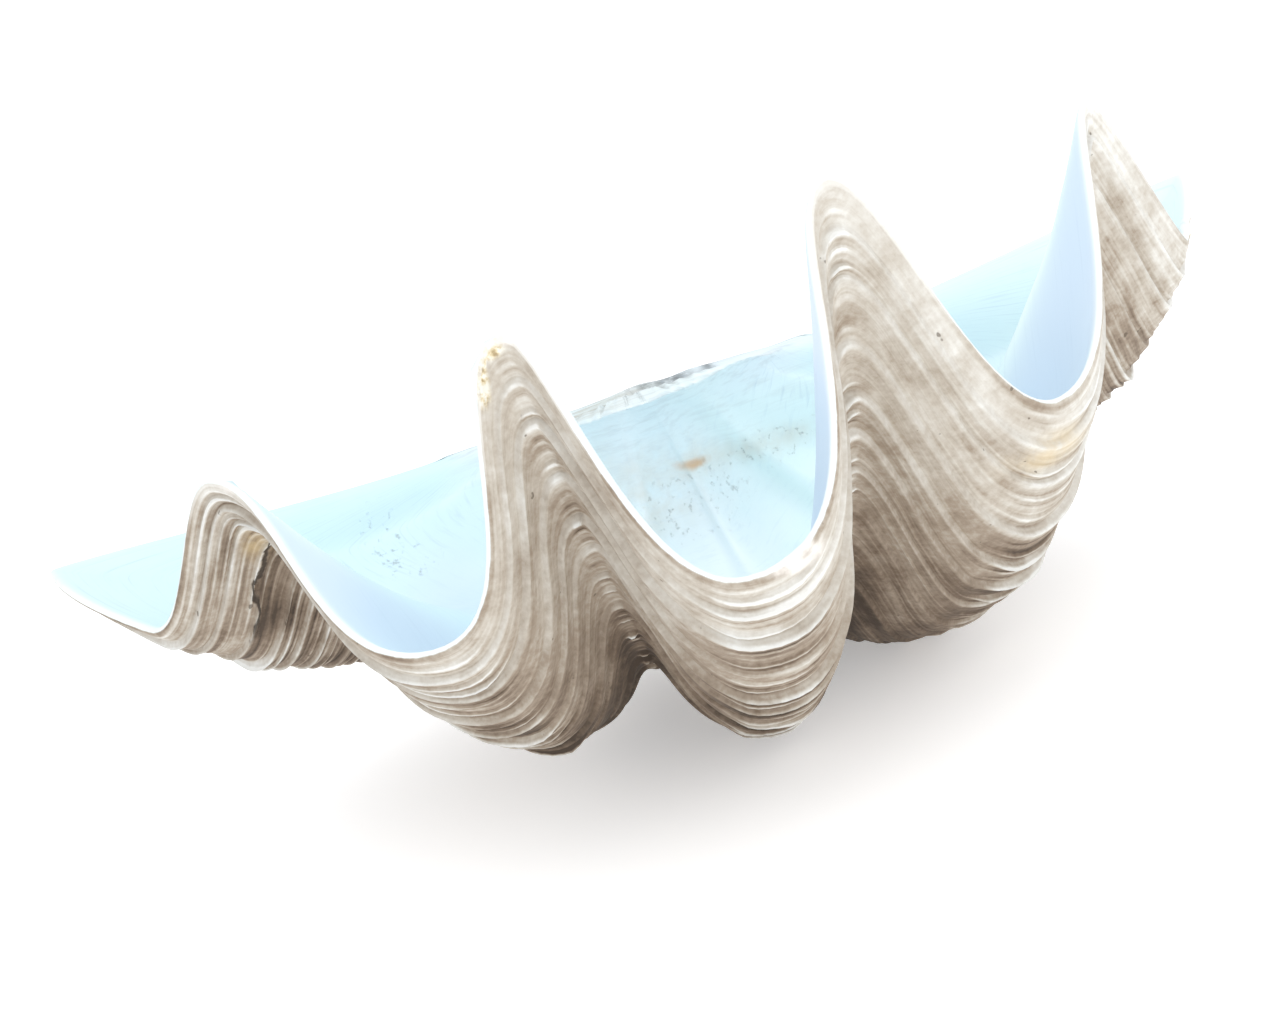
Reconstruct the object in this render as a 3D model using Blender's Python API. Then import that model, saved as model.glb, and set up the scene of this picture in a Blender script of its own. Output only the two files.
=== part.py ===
# Giant clam half shell: one valve lying on its back, open side up.
# Metres, +Z up. The ventral rim with its five ribs faces -Y, the hinge is at the back.
# The shell is a fan of growth lines. Each growth line is a smaller copy of the rim, turned about
# the hinge axis as it shrinks towards the umbo, so every rib winds in like a spiral.

import math
import random

import bmesh
import bpy
import numpy as np
from mathutils import Vector
from mathutils.geometry import interpolate_bezier

# Knots of the rim, seen from the umbo: bearing in degrees (0 is straight ahead, to -Y),
# reach in plan, height over the hinge axis, slope in degrees, and the two handle lengths.
# A valley is the end of a rib. A peak is the end of the groove between two ribs.
RIM_KNOTS = {
    "left_tip": (-79.2, 0.393, 0.033, 0.0, 0.025, 0.050),
    "valley_1": (-63.1, 0.368, 0.009, 2.7, 0.050, 0.064),
    "peak_1": (-46.7, 0.354, 0.104, 1.0, 0.027, 0.053),
    "valley_2": (-27.5, 0.388, 0.010, -1.7, 0.065, 0.083),
    "peak_2": (-13.9, 0.382, 0.162, 3.5, 0.036, 0.018),
    "valley_3": (-2.0, 0.410, 0.018, -4.0, 0.057, 0.091),
    "peak_3": (12.5, 0.373, 0.183, 4.0, 0.031, 0.029),
    "valley_4": (28.8, 0.382, 0.026, -2.4, 0.059, 0.071),
    "peak_4": (49.0, 0.356, 0.151, -3.1, 0.036, 0.020),
    "valley_5": (64.9, 0.378, 0.033, -3.5, 0.052, 0.040),
    "right_tip": (78.4, 0.389, 0.048, 0.0, 0.030, 0.025),
}
HINGE_HALF = 0.130
HINGE_HANDLE = 0.060
HINGE_TURN = 16.0
SPAN_STEPS = 10

# The plain fan under the folds.
FAN_REACH = 0.380
FAN_HEIGHT = 0.085
FAN_FULLNESS = 0.7

# A growth line of size s is turned by WHOLE_TURN * (1 - s ** winding). The winding is given at
# bearings in degrees. Where it is large the belly is deep, and where it is small the groove is.
# Near the umbo it eases to a plain winding, which grows evenly from the middle to the sides.
WHOLE_TURN = 2.75
WINDING = {
    -79.0: 0.94,
    -63.0: 0.78,
    -47.0: 0.58,
    -27.0: 0.70,
    -14.0: 0.60,
    4.0: 0.72,
    13.5: 0.62,
    24.0: 0.88,
    38.0: 1.10,
    49.0: 0.68,
    65.0: 1.34,
    79.0: 1.56,
}
PLAIN_WINDING = 0.70
PLAIN_WINDING_TO_RIGHT = 0.34
PLAIN_WINDING_TO_SIDES = 0.55
PLAIN_UP_TO = 0.40
OWN_WINDING_FROM = 0.80
FOLD_GROWTH = 0.60
FOLD_GROWTH_INSIDE = 1.20
SMALLEST = 0.09

# The valve is RIM_THICKNESS thick at the rim and thicker by up to THICKENING towards the umbo.
RIM_THICKNESS = 0.0045
THICKENING = 0.034
THICKENING_POWER = 0.8
SIDE_TAPER = 0.20
BACK_EDGE = 0.10
WAY_IN_AT_BACK = (0.0, -0.6, 1.0)
LEDGE_TAPER = 0.06
PLAIN_LINING = 0.60

# Growth ledges: each step rises outwards to a lip, then drops back to the next step.
LEDGE_FIRST = 0.34
LEDGE_GAP_OLD = 0.058
LEDGE_GAP_YOUNG = 0.034
LEDGE_DROP = 0.007
LEDGE_GAP_SPREAD = 0.25
LEDGE_HEIGHT = 0.0026
LEDGE_HEIGHT_LOW = 0.55
LEDGE_HEIGHT_HIGH = 1.3
LEDGE_WAVE = 0.35
LEDGE_WAVES_LOW = 3.0
LEDGE_WAVES_HIGH = 7.0
LAST_LEDGE_CLEAR = 0.6
LEDGE_SEED = 7
PLAIN_ROWS = 9

# The hinge plate: a shelf in front of the hinge axis, widest in the middle.
PLATE_WIDTH = 0.042
PLATE_ROUNDNESS = 1.5
PLATE_HALVINGS = 40
PLATE_REACH = 0.28
LIGAMENT_RISE = 0.004
LIGAMENT_PLACE = 0.015
LIGAMENT_WIDTH = 0.055

# The shell lies on its two deepest ribs, which are worn flat there by REST_WEAR.
REST_WEAR = 0.004
CUTTER_SIZE = (1.0, 1.0, 0.1)

TRIANGLES = 9800
SHARP_ANGLE = 50.0


def knot_place(bearing, reach, height):
    """The point at a bearing, reach and height from the umbo."""
    angle = math.radians(bearing)
    return Vector((reach * math.sin(angle), -reach * math.cos(angle), height))


def knot_heading(bearing, slope):
    """The direction in which the rim passes a knot, left to right."""
    angle, rise = math.radians(bearing), math.radians(slope)
    return Vector((math.cos(angle) * math.cos(rise), math.sin(angle) * math.cos(rise), math.sin(rise)))


def rim_line():
    """Points along the rim, from the left hinge end to the right one, closer together on the peaks."""
    back, out = math.cos(math.radians(HINGE_TURN)), math.sin(math.radians(HINGE_TURN))
    knots = [(Vector((-HINGE_HALF, 0, 0)), Vector((-back, -out, 0)), HINGE_HANDLE, HINGE_HANDLE)]
    for bearing, reach, height, slope, before, after in RIM_KNOTS.values():
        knots.append((knot_place(bearing, reach, height), knot_heading(bearing, slope), before, after))
    knots.append((Vector((HINGE_HALF, 0, 0)), Vector((-back, out, 0)), HINGE_HANDLE, HINGE_HANDLE))
    line = []
    for (start, leaving, _, after), (end, arriving, before, _) in zip(knots, knots[1:]):
        span = interpolate_bezier(
            start, start + leaving * after, end - arriving * before, end, SPAN_STEPS + 1)
        line.extend(span if not line else span[1:])
    return np.array([tuple(point) for point in line])


def bearings(points):
    """Bearing of each point seen from the umbo, in radians."""
    return np.arctan2(points[:, 0], -points[:, 1])


def fan_line(rim):
    """The rim with its folds taken out: the same bearings on a plain fan."""
    bearing = bearings(rim)
    left, right = RIM_KNOTS["left_tip"], RIM_KNOTS["right_tip"]
    first, last = math.radians(left[0]), math.radians(right[0])
    across = np.clip((bearing - first) / (last - first), 0.0, 1.0)
    hump = np.sin(math.pi * across) ** FAN_FULLNESS
    reach = left[1] + (right[1] - left[1]) * across
    height = left[2] + (right[2] - left[2]) * across
    reach = reach + (FAN_REACH - reach) * hump
    height = height + (FAN_HEIGHT - height) * hump
    fan = np.stack([reach * np.sin(bearing), -reach * np.cos(bearing), height], axis=1)
    at_hinge = (bearing <= first) | (bearing >= last)
    fan[at_hinge] = rim[at_hinge]
    return fan


def winding_at(bearing):
    """The winding at each bearing, eased from one given value to the next."""
    given = np.radians(list(WINDING))
    values = np.array(list(WINDING.values()))
    place = np.interp(bearing, given, np.arange(len(given)))
    before = np.minimum(place.astype(int), len(given) - 2)
    return values[before] + (values[before + 1] - values[before]) * smooth(place - before)


def growth_skin(rim, sizes, fold_growth):
    """Rows of points, one growth line for each size, smallest first."""
    fan = fan_line(rim)
    bearing = bearings(rim)
    side = np.sin(bearing)
    own = winding_at(bearing)
    plain = PLAIN_WINDING + PLAIN_WINDING_TO_RIGHT * side + PLAIN_WINDING_TO_SIDES * side**2
    rows = []
    for size in sizes:
        x, y, z = ((fan + (rim - fan) * size**fold_growth) * size).T
        share = smooth((size - PLAIN_UP_TO) / (OWN_WINDING_FROM - PLAIN_UP_TO))
        turn = WHOLE_TURN * (1.0 - size**own * share - size**plain * (1.0 - share))
        cos, sin = np.cos(turn), np.sin(turn)
        rows.append(np.stack([x, y * cos - z * sin, y * sin + z * cos], axis=1))
    return np.array(rows)


def inward(grid):
    """Unit normals of a grid of points, pointing to the inside of the valve."""
    across = np.gradient(grid, axis=1)
    along = np.gradient(grid, axis=0)
    normal = np.cross(along, across)
    return normal / np.maximum(np.linalg.norm(normal, axis=2, keepdims=True), 1e-12)


def smooth(values):
    """Eases a share from 0 to 1."""
    share = np.clip(values, 0.0, 1.0)
    return share * share * (3.0 - 2.0 * share)


def ledge_sizes():
    """Sizes of the growth lines that carry a lip."""
    dice = random.Random(LEDGE_SEED)
    lips, size = [], LEDGE_FIRST
    while size < 1.0 - LEDGE_GAP_YOUNG * LAST_LEDGE_CLEAR:
        lips.append(size)
        age = (size - LEDGE_FIRST) / (1.0 - LEDGE_FIRST)
        gap = LEDGE_GAP_OLD + (LEDGE_GAP_YOUNG - LEDGE_GAP_OLD) * age
        size += gap * dice.uniform(1.0 - LEDGE_GAP_SPREAD, 1.0 + LEDGE_GAP_SPREAD)
    return lips


def row_sizes():
    """Sizes of all rows: plain ones near the umbo, then the lip, foot and middle of each ledge."""
    lips = ledge_sizes()
    sizes = list(np.linspace(SMALLEST, lips[0], PLAIN_ROWS))
    for lip, following in zip(lips, lips[1:] + [1.0]):
        foot = lip + LEDGE_DROP
        sizes += [foot, (foot + following) / 2, following]
    return np.array(sizes)


def ledge_heights(sizes, rim):
    """How far each point of the outside stands out because of the ledges."""
    lips = ledge_sizes()
    dice = random.Random(LEDGE_SEED + 1)
    bearing = bearings(rim)
    heights = np.zeros((len(sizes), len(rim)))
    start = SMALLEST
    for lip in lips + [1.0 + LEDGE_GAP_YOUNG]:
        tall = LEDGE_HEIGHT * dice.uniform(LEDGE_HEIGHT_LOW, LEDGE_HEIGHT_HIGH)
        waves = dice.uniform(LEDGE_WAVES_LOW, LEDGE_WAVES_HIGH)
        phase = dice.uniform(0.0, math.tau)
        along = 1.0 + LEDGE_WAVE * np.sin(waves * bearing + phase)
        rise = (sizes - start) / (lip - start)
        inside = (sizes > start + 1e-6) & (sizes <= lip + 1e-6)
        heights += (inside * rise)[:, None] * tall * along[None, :]
        start = lip
    fade = smooth(sizes / LEDGE_FIRST) * smooth((1.0 - sizes) / LEDGE_GAP_YOUNG)
    end = np.linspace(0.0, 1.0, len(rim))
    fade_hinge = smooth(np.minimum(end, 1.0 - end) / LEDGE_TAPER)
    return heights * fade[:, None] * fade_hinge[None, :]


def plate_edge(rim):
    """Where the way from the umbo to each rim point leaves the hinge plate, and its share of it."""
    shares = []
    for x, y, _ in rim:
        low, high = 0.0, 1.0
        for _ in range(PLATE_HALVINGS):
            share = (low + high) / 2
            width = PLATE_WIDTH * (1.0 - min(1.0, abs(share * x) / HINGE_HALF) ** PLATE_ROUNDNESS)
            if -share * y < width - 1e-9:
                low = share
            else:
                high = share
        shares.append(min(low, HINGE_HALF / max(abs(x), 1e-9)))
    shares = np.array(shares)
    edge = rim * shares[:, None]
    return edge, shares


def plate_height(across):
    """Height of the hinge plate, which rises a little under the ligament."""
    return RIM_THICKNESS + LIGAMENT_RISE * np.exp(-(((across - LIGAMENT_PLACE) / LIGAMENT_WIDTH) ** 2))


def inner_skin(rim, sizes):
    """The lining of the valve, which turns up into the hinge plate towards the umbo."""
    lining = growth_skin(rim, sizes, FOLD_GROWTH_INSIDE)
    plain = smooth((1.0 - sizes) / PLAIN_LINING)[:, None, None]
    way_in = inward(lining) * (1.0 - plain) + inward(growth_skin(fan_line(rim), sizes, 1.0)) * plain
    way_in /= np.linalg.norm(way_in, axis=2, keepdims=True)
    end = np.linspace(0.0, 1.0, len(rim))
    end = np.minimum(end, 1.0 - end)
    at_back = (1.0 - smooth(end / BACK_EDGE))[None, :, None]
    way_in = way_in * (1.0 - at_back) + np.array(WAY_IN_AT_BACK) * at_back
    side = smooth(end / SIDE_TAPER)
    thickness = RIM_THICKNESS + THICKENING * np.outer((1.0 - sizes) ** THICKENING_POWER, side)
    lining = lining + way_in * thickness[:, :, None]
    edge, shares = plate_edge(rim)
    edge[:, 2] = plate_height(edge[:, 0])
    middle = np.zeros_like(rim)
    middle[:, 0] = np.linspace(-1.0, 1.0, len(rim)) * HINGE_HALF * SMALLEST
    middle[:, 2] = plate_height(middle[:, 0])
    on_plate = np.clip((shares[None, :] - sizes[:, None]) / (shares[None, :] - SMALLEST), 0.0, 1.0)
    plate = edge[None] + (middle - edge)[None] * on_plate[:, :, None]
    start = shares + PLATE_REACH * (1.0 - shares)
    blend = smooth((start[None, :] - sizes[:, None]) / np.maximum(start - shares, 1e-6)[None, :])
    return lining * (1.0 - blend[:, :, None]) + plate * blend[:, :, None]


def add_quads(bm, rows):
    """Quads between the rows of a grid of vertices."""
    for lower, upper in zip(rows, rows[1:]):
        for c in range(len(lower) - 1):
            bm.faces.new([lower[c], lower[c + 1], upper[c + 1], upper[c]])


def border(rows):
    """The vertices round the edge of a grid, back to the first one."""
    left = [row[0] for row in rows]
    right = [row[-1] for row in rows]
    return rows[0] + right[1:-1] + rows[-1][::-1] + left[::-1][1:]


def valve_mesh():
    """The closed valve: outside, lining, rim, and the end of the beak behind the hinge."""
    rim = rim_line()
    sizes = row_sizes()
    outside = growth_skin(rim, sizes, FOLD_GROWTH)
    outside -= inward(outside) * ledge_heights(sizes, rim)[:, :, None]
    inside = inner_skin(rim, sizes)
    bm = bmesh.new()
    outer = [[bm.verts.new(p) for p in row] for row in outside]
    inner = [[bm.verts.new(p) for p in row] for row in inside]
    add_quads(bm, outer)
    add_quads(bm, inner)
    add_quads(bm, [border(outer), border(inner)])
    bmesh.ops.recalc_face_normals(bm, faces=bm.faces)
    return bm


def lay_down(bm):
    """Centres the valve over the ground, with its deepest ribs REST_WEAR under it."""
    places = np.array([tuple(v.co) for v in bm.verts])
    low, high = places.min(axis=0), places.max(axis=0)
    shift = Vector((-(low[0] + high[0]) / 2, -(low[1] + high[1]) / 2, -low[2] - REST_WEAR))
    bmesh.ops.translate(bm, vec=shift, verts=bm.verts)


def wear_flat(shell, cutters):
    """Takes off what lies under the ground, so the lowest ribs end in flat worn spots."""
    bm = bmesh.new()
    bmesh.ops.create_cube(bm, size=1.0)
    bmesh.ops.scale(bm, vec=CUTTER_SIZE, verts=bm.verts)
    bmesh.ops.translate(bm, vec=(0, 0, -CUTTER_SIZE[2] / 2), verts=bm.verts)
    mesh = bpy.data.meshes.new("ground_cutter")
    bm.to_mesh(mesh)
    bm.free()
    ground = bpy.data.objects.new("ground_cutter", mesh)
    ground.hide_render = True
    ground.display_type = "WIRE"
    cutters.objects.link(ground)
    worn = shell.modifiers.new("worn_flat", "BOOLEAN")
    worn.operation = "DIFFERENCE"
    worn.solver = "EXACT"
    worn.object = ground


def shell_material():
    material = bpy.data.materials.new("shell")
    material.use_nodes = True
    shader = material.node_tree.nodes["Principled BSDF"]
    shader.inputs["Base Color"].default_value = (0.70, 0.62, 0.52, 1.0)
    shader.inputs["Roughness"].default_value = 0.6
    return material


def build_shell(collection):
    bm = valve_mesh()
    lay_down(bm)
    mesh = bpy.data.meshes.new("half_shell")
    bm.to_mesh(mesh)
    bm.free()
    mesh.materials.append(shell_material())
    shell = bpy.data.objects.new("half_shell", mesh)
    collection.objects.link(shell)
    mesh.shade_smooth()
    mesh.set_sharp_from_angle(angle=math.radians(SHARP_ANGLE))
    faces = sum(len(polygon.vertices) - 2 for polygon in mesh.polygons)
    thin = shell.modifiers.new("fewer_faces", "DECIMATE")
    thin.decimate_type = "COLLAPSE"
    thin.ratio = min(1.0, TRIANGLES / faces)
    return shell


def main():
    for old in list(bpy.data.objects):
        bpy.data.objects.remove(old)
    collection = bpy.data.collections.new("giant_clam_half_shell")
    cutters = bpy.data.collections.new("cutters")
    bpy.context.scene.collection.children.link(collection)
    bpy.context.scene.collection.children.link(cutters)
    shell = build_shell(collection)
    wear_flat(shell, cutters)


main()
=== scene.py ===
# %% [markdown]
# # A giant clam half shell
#
# One valve of a giant clam lies on its ribs, open side up. A clam builds its shell along the rim:
# every growth line is an old rim, a little smaller than the next one, so the whole valve is one
# line copied, shrunk and turned. These cells follow the clam. They draw the rim, grow the outside
# and the lining from it, lay the ledges on, close the skin over the edge, and then finish it.

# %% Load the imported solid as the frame
import math
import random

import bmesh
import bpy
import numpy as np
from mathutils import Matrix, Vector, noise
from mathutils.geometry import interpolate_bezier


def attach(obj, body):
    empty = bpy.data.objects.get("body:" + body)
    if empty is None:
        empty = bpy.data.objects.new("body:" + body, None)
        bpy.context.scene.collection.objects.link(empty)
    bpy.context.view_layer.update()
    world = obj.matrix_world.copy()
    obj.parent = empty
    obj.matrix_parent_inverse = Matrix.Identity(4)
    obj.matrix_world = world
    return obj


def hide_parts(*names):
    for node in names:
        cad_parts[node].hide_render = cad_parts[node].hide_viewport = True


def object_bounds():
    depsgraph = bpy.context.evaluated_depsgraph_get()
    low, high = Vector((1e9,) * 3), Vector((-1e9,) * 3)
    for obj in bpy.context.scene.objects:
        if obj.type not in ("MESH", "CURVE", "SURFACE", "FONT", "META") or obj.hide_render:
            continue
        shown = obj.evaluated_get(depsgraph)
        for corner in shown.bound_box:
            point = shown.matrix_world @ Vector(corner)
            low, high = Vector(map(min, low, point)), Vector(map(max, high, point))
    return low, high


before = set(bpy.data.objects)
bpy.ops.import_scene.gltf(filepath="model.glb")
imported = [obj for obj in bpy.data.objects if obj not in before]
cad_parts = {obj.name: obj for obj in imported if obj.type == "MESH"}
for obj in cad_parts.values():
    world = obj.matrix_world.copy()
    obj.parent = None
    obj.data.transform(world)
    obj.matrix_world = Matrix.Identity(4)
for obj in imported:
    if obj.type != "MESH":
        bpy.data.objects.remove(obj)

SOLID_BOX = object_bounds()
print("nodes:", sorted(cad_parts), "box:", [tuple(round(v, 4) for v in corner) for corner in SOLID_BOX])

# %% [markdown]
# ## The rim
#
# The rim has eleven turning points: the two tips, five low points and four high ones. At a low point
# a rib ends, and at a high point the groove between two ribs ends. Each turning point is a knot,
# given as it is seen from the umbo, the pointed beginning of the shell: bearing, reach, height and
# slope, and how far the curve keeps its heading before and after. A Bezier curve through the knots
# gives smooth tall waves from few numbers.

# %% Draw the rim
RIM_KNOTS = {
    "left_tip": (-79.2, 0.393, 0.033, 0.0, 0.025, 0.050),
    "valley_1": (-63.1, 0.368, 0.009, 2.7, 0.050, 0.064),
    "peak_1": (-46.7, 0.354, 0.104, 1.0, 0.027, 0.053),
    "valley_2": (-27.5, 0.388, 0.010, -1.7, 0.065, 0.083),
    "peak_2": (-13.9, 0.382, 0.162, 3.5, 0.036, 0.018),
    "valley_3": (-2.0, 0.410, 0.018, -4.0, 0.057, 0.091),
    "peak_3": (12.5, 0.373, 0.183, 4.0, 0.031, 0.029),
    "valley_4": (28.8, 0.382, 0.026, -2.4, 0.059, 0.071),
    "peak_4": (49.0, 0.356, 0.151, -3.1, 0.036, 0.020),
    "valley_5": (64.9, 0.378, 0.033, -3.5, 0.052, 0.040),
    "right_tip": (78.4, 0.389, 0.048, 0.0, 0.030, 0.025),
}
HINGE_HALF, HINGE_HANDLE, HINGE_TURN = 0.130, 0.060, 16.0
SPAN_STEPS = 28


def knot_place(bearing, reach, height):
    angle = math.radians(bearing)
    return Vector((reach * math.sin(angle), -reach * math.cos(angle), height))


def knot_heading(bearing, slope):
    angle, rise = math.radians(bearing), math.radians(slope)
    return Vector((math.cos(angle) * math.cos(rise), math.sin(angle) * math.cos(rise), math.sin(rise)))


def rim_line():
    back, out = math.cos(math.radians(HINGE_TURN)), math.sin(math.radians(HINGE_TURN))
    knots = [(Vector((-HINGE_HALF, 0, 0)), Vector((-back, -out, 0)), HINGE_HANDLE, HINGE_HANDLE)]
    for bearing, reach, height, slope, before, after in RIM_KNOTS.values():
        knots.append((knot_place(bearing, reach, height), knot_heading(bearing, slope), before, after))
    knots.append((Vector((HINGE_HALF, 0, 0)), Vector((-back, out, 0)), HINGE_HANDLE, HINGE_HANDLE))
    line = []
    for (start, leaving, _, after), (end, arriving, before, _) in zip(knots, knots[1:]):
        span = interpolate_bezier(
            start, start + leaving * after, end - arriving * before, end, SPAN_STEPS + 1)
        line.extend(span if not line else span[1:])
    return np.array([tuple(point) for point in line])


RIM = rim_line()
STEPS_ALONG = np.linalg.norm(np.diff(RIM, axis=0), axis=1)
ALONG = np.concatenate([[0.0], np.cumsum(STEPS_ALONG)])
BEARING = np.arctan2(RIM[:, 0], -RIM[:, 1])
print("rim points:", len(RIM), "length m:", round(float(ALONG[-1]), 3))

# %% [markdown]
# ## Growth lines
#
# A growth line of size s is the rim scaled by s and turned about the hinge, so each rib curls in
# like a spiral. How fast a bearing winds decides how deep its rib or groove is, so that is a small
# table too. The folds fade towards the umbo. The same function makes the outside and the lining,
# which only fades its folds sooner. Numpy works on all points at once, which keeps it quick.

# %% Grow a skin from the rim
FAN_REACH, FAN_HEIGHT, FAN_FULLNESS = 0.380, 0.085, 0.7
WHOLE_TURN = 2.75
WINDING = {
    -79.0: 0.94, -63.0: 0.78, -47.0: 0.58, -27.0: 0.70, -14.0: 0.60, 4.0: 0.72,
    13.5: 0.62, 24.0: 0.88, 38.0: 1.10, 49.0: 0.68, 65.0: 1.34, 79.0: 1.56,
}
PLAIN_WINDING, PLAIN_WINDING_TO_RIGHT, PLAIN_WINDING_TO_SIDES = 0.70, 0.34, 0.55
PLAIN_UP_TO, OWN_WINDING_FROM = 0.40, 0.80
FOLD_GROWTH, FOLD_GROWTH_INSIDE = 0.60, 1.20
SMALLEST = 0.09


def smooth(values):
    share = np.clip(values, 0.0, 1.0)
    return share * share * (3.0 - 2.0 * share)


def fan_line():
    """The rim with its folds taken out."""
    left, right = RIM_KNOTS["left_tip"], RIM_KNOTS["right_tip"]
    first, last = math.radians(left[0]), math.radians(right[0])
    across = np.clip((BEARING - first) / (last - first), 0.0, 1.0)
    hump = np.sin(math.pi * across) ** FAN_FULLNESS
    reach = left[1] + (right[1] - left[1]) * across
    height = left[2] + (right[2] - left[2]) * across
    reach = reach + (FAN_REACH - reach) * hump
    height = height + (FAN_HEIGHT - height) * hump
    fan = np.stack([reach * np.sin(BEARING), -reach * np.cos(BEARING), height], axis=1)
    at_hinge = (BEARING <= first) | (BEARING >= last)
    fan[at_hinge] = RIM[at_hinge]
    return fan


def own_winding():
    given = np.radians(list(WINDING))
    values = np.array(list(WINDING.values()))
    place = np.interp(BEARING, given, np.arange(len(given)))
    before = np.minimum(place.astype(int), len(given) - 2)
    return values[before] + (values[before + 1] - values[before]) * smooth(place - before)


FAN = fan_line()
SIDE = np.sin(BEARING)
OWN = own_winding()
PLAIN = PLAIN_WINDING + PLAIN_WINDING_TO_RIGHT * SIDE + PLAIN_WINDING_TO_SIDES * SIDE**2


def growth_skin(line, sizes, fold_growth):
    """A row of points for each row of sizes."""
    s = sizes[:, :, None]
    x, y, z = np.moveaxis((FAN + (line - FAN) * s**fold_growth) * s, 2, 0)
    share = smooth((sizes - PLAIN_UP_TO) / (OWN_WINDING_FROM - PLAIN_UP_TO))
    turn = WHOLE_TURN * (1.0 - sizes**OWN * share - sizes**PLAIN * (1.0 - share))
    cos, sin = np.cos(turn), np.sin(turn)
    return np.stack([x, y * cos - z * sin, y * sin + z * cos], axis=2)


def inward(grid):
    """Unit normals that point into the bowl."""
    normal = np.cross(np.gradient(grid, axis=0), np.gradient(grid, axis=1))
    return normal / np.maximum(np.linalg.norm(normal, axis=2, keepdims=True), 1e-12)


# %% [markdown]
# ## Ledges
#
# The clam stops and starts, and each stop leaves a ledge: the surface rises slowly to a lip and then
# drops back. On the ribs there are bold ledges about 2 cm apart, which the solid has too, and small
# ones between them, about 5 mm apart and 1 to 3 mm tall. They are almost gone on the steep flanks.
# A bump map could draw them, but real steps also show on the outline. Rows of points are placed
# right on the lips and feet, so even a low ledge stays crisp without a very dense mesh.

# %% Place the growth lines and their lips
LEDGE_FIRST, LEDGE_GAP_OLD, LEDGE_GAP_YOUNG, LEDGE_GAP_SPREAD = 0.34, 0.058, 0.034, 0.25
LEDGE_HEIGHT, LEDGE_TAPER, LEDGE_SEED, LAST_LEDGE_CLEAR = 0.0026, 0.06, 7, 0.6
SMALL_GAP, SMALL_GAP_SPREAD, SMALL_DROP, SMALL_HEIGHT = 0.0108, 0.38, 0.0022, 0.0021
LAST_LIP = 0.992
OLDEST_ROW, PLAIN_ROWS = 0.03, 16


def bold_lips():
    dice = random.Random(LEDGE_SEED)
    lips, size = [], LEDGE_FIRST
    while size < 1.0 - LEDGE_GAP_YOUNG * LAST_LEDGE_CLEAR:
        lips.append(size)
        age = (size - LEDGE_FIRST) / (1.0 - LEDGE_FIRST)
        gap = LEDGE_GAP_OLD + (LEDGE_GAP_YOUNG - LEDGE_GAP_OLD) * age
        size += gap * dice.uniform(1.0 - LEDGE_GAP_SPREAD, 1.0 + LEDGE_GAP_SPREAD)
    return lips


def small_lips(bold):
    """Splits every gap between bold lips into small uneven steps."""
    dice = random.Random(LEDGE_SEED + 10)
    lips = []
    for start, end in zip(bold, bold[1:] + [LAST_LIP]):
        count = max(1, round((end - start) / SMALL_GAP))
        widths = [dice.uniform(1.0 - SMALL_GAP_SPREAD, 1.0 + SMALL_GAP_SPREAD) for _ in range(count)]
        edges = start + (end - start) * np.cumsum([0.0] + widths) / sum(widths)
        lips.extend(float(edge) for edge in edges[:-1])
    return lips + [LAST_LIP]


BOLD_LIPS = bold_lips()
SMALL_LIPS = small_lips(BOLD_LIPS)
OUTER_ROWS = list(np.linspace(OLDEST_ROW, SMALL_LIPS[0], PLAIN_ROWS))
for lip, following in zip(SMALL_LIPS, SMALL_LIPS[1:]):
    foot = lip + SMALL_DROP
    OUTER_ROWS += [foot, foot + (following - foot) / 2.0, following]
OUTER_ROWS = np.array(OUTER_ROWS)
print("bold ledges:", len(BOLD_LIPS), "small ledges:", len(SMALL_LIPS), "rows outside:", len(OUTER_ROWS))

# %% Tell ribs, flanks and ends apart
FLANK_FROM, FLANK_OVER = 0.35, 0.55
LEFT_FOLD_TO, LEFT_FOLD_OVER = 0.22, 0.08
RIGHT_END_FROM, RIGHT_END_OVER = 0.72, 0.06
LINED_ON_LEFT, LINED_ON_RIGHT = 0.75, 0.45
TANGENT = np.gradient(RIM, axis=0)
STEEP = np.abs(TANGENT[:, 2]) / np.linalg.norm(TANGENT, axis=1)
FLANK = smooth((STEEP - FLANK_FROM) / FLANK_OVER)
FROM_LEFT = np.linspace(0.0, 1.0, len(RIM))
END = np.minimum(FROM_LEFT, 1.0 - FROM_LEFT)
LEFT_FOLD = 1.0 - smooth((FROM_LEFT - LEFT_FOLD_TO) / LEFT_FOLD_OVER)
RIGHT_END = smooth((FROM_LEFT - RIGHT_END_FROM) / RIGHT_END_OVER)
LINED = 1.0 - FLANK * (1.0 - LINED_ON_LEFT * LEFT_FOLD - LINED_ON_RIGHT * RIGHT_END)
print("rim points on steep flanks:", int((FLANK > 0.5).sum()), "of", len(RIM))

# %% Give the bold ledges their height
BOLD_LOWEST, BOLD_HIGHEST = 0.55, 1.3
WAVES_FEWEST, WAVES_MOST, WAVE_DEPTH = 3.0, 7.0, 0.35


def bold_heights(sizes):
    dice = random.Random(LEDGE_SEED + 1)
    heights = np.zeros((len(sizes), len(RIM)))
    start = SMALLEST
    for lip in BOLD_LIPS + [1.0 + LEDGE_GAP_YOUNG]:
        tall = LEDGE_HEIGHT * dice.uniform(BOLD_LOWEST, BOLD_HIGHEST)
        waves, phase = dice.uniform(WAVES_FEWEST, WAVES_MOST), dice.uniform(0.0, math.tau)
        along = 1.0 + WAVE_DEPTH * np.sin(waves * BEARING + phase)
        rise = (sizes - start) / (lip - start)
        step = (sizes > start + 1e-6) & (sizes <= lip + 1e-6)
        heights += (step * rise)[:, None] * tall * along[None, :]
        start = lip
    return heights * (smooth(sizes / LEDGE_FIRST) * smooth((1.0 - sizes) / LEDGE_GAP_YOUNG))[:, None]


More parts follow.
